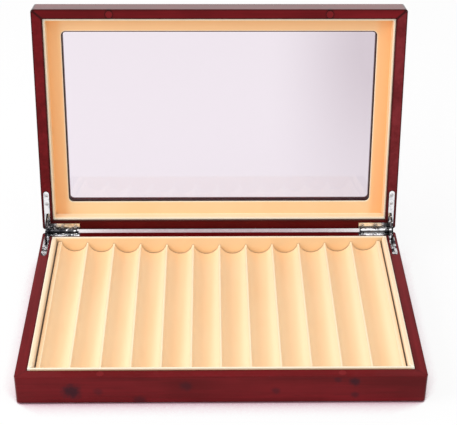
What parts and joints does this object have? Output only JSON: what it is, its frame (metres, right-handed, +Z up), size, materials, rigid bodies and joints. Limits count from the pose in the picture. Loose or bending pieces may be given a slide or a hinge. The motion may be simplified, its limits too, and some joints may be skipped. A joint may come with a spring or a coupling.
{
  "type": "pen display case",
  "caption": "Flat lacquered wooden case with a hinged glass-window lid, velvet lining and a grooved velvet tray that holds pens side by side.",
  "frame": {"origin": "middle of the underside of the base, on the surface that the case stands on", "axes": "+X to the right of somebody in front of the case, +Y to the back, where the hinges are, +Z up"},
  "size_m": [0.34, 0.2764, 0.2425],
  "materials": {
    "cherry_lacquer": "high-gloss cherry lacquer over wood grain",
    "bottom_panel": "stained and lacquered board",
    "under_felt": "black felt",
    "liner_velvet": "beige velvet over thin board",
    "tray_foam": "foam",
    "tray_velvet": "beige velvet",
    "window_velvet": "beige velvet over board",
    "window_glass": "clear",
    "hinge_chrome": "polished",
    "screw_chrome": "polished",
    "pin_steel": "ground",
    "magnet_lacquer": "under the case's lacquer"
  },
  "bodies": {
    "base": {"base_back_liner": "liner_velvet", "base_back_rail": "cherry_lacquer", "base_bottom_board": "bottom_panel", "base_felt": "under_felt", "base_front_liner": "liner_velvet", "base_front_rail": "cherry_lacquer", "base_hinge_screws": "screw_chrome", "base_left_liner": "liner_velvet", "base_left_rail": "cherry_lacquer", "base_magnets": "magnet_lacquer", "base_right_liner": "liner_velvet", "base_right_rail": "cherry_lacquer", "hinge_base_leaf_left": "hinge_chrome", "hinge_base_leaf_right": "hinge_chrome", "hinge_pin_left": "pin_steel", "hinge_pin_right": "pin_steel", "pen_tray_foam": "tray_foam", "pen_tray_velvet": "tray_velvet"},
    "lid": {"glass_pane": "window_glass", "glass_retaining_frame": "cherry_lacquer", "hinge_lid_leaf_left": "hinge_chrome", "hinge_lid_leaf_right": "hinge_chrome", "lid_back_liner": "liner_velvet", "lid_back_rail": "cherry_lacquer", "lid_front_liner": "liner_velvet", "lid_front_rail": "cherry_lacquer", "lid_hinge_screws": "screw_chrome", "lid_left_liner": "liner_velvet", "lid_left_rail": "cherry_lacquer", "lid_magnets": "magnet_lacquer", "lid_right_liner": "liner_velvet", "lid_right_rail": "cherry_lacquer", "lid_window_board": "cherry_lacquer", "window_trim": "window_velvet"},
    "quadrant_left": {"quadrant_stops_left": "pin_steel", "quadrant_strap_left": "hinge_chrome"},
    "quadrant_right": {"quadrant_stops_right": "pin_steel", "quadrant_strap_right": "hinge_chrome"}
  },
  "joints": [
    {"name": "lid_hinge", "type": "hinge", "parent": "base", "child": "lid", "pos_m": [0, 0.1095, 0.02885], "axis": [1, 0, 0], "range_deg": [0, 100]},
    {"name": "strap_left_turn", "type": "hinge", "parent": "base", "child": "quadrant_left", "pos_m": [0, 0.1095, 0.02885], "axis": [1, 0, 0], "range_deg": [0, 50]},
    {"name": "strap_right_turn", "type": "hinge", "parent": "base", "child": "quadrant_right", "pos_m": [0, 0.1095, 0.02885], "axis": [1, 0, 0], "range_deg": [0, 50]}
  ],
  "couplings": [
    {"joint": "strap_left_turn", "follows": "lid_hinge", "ratio": 0.5},
    {"joint": "strap_right_turn", "follows": "lid_hinge", "ratio": 0.5}
  ]
}
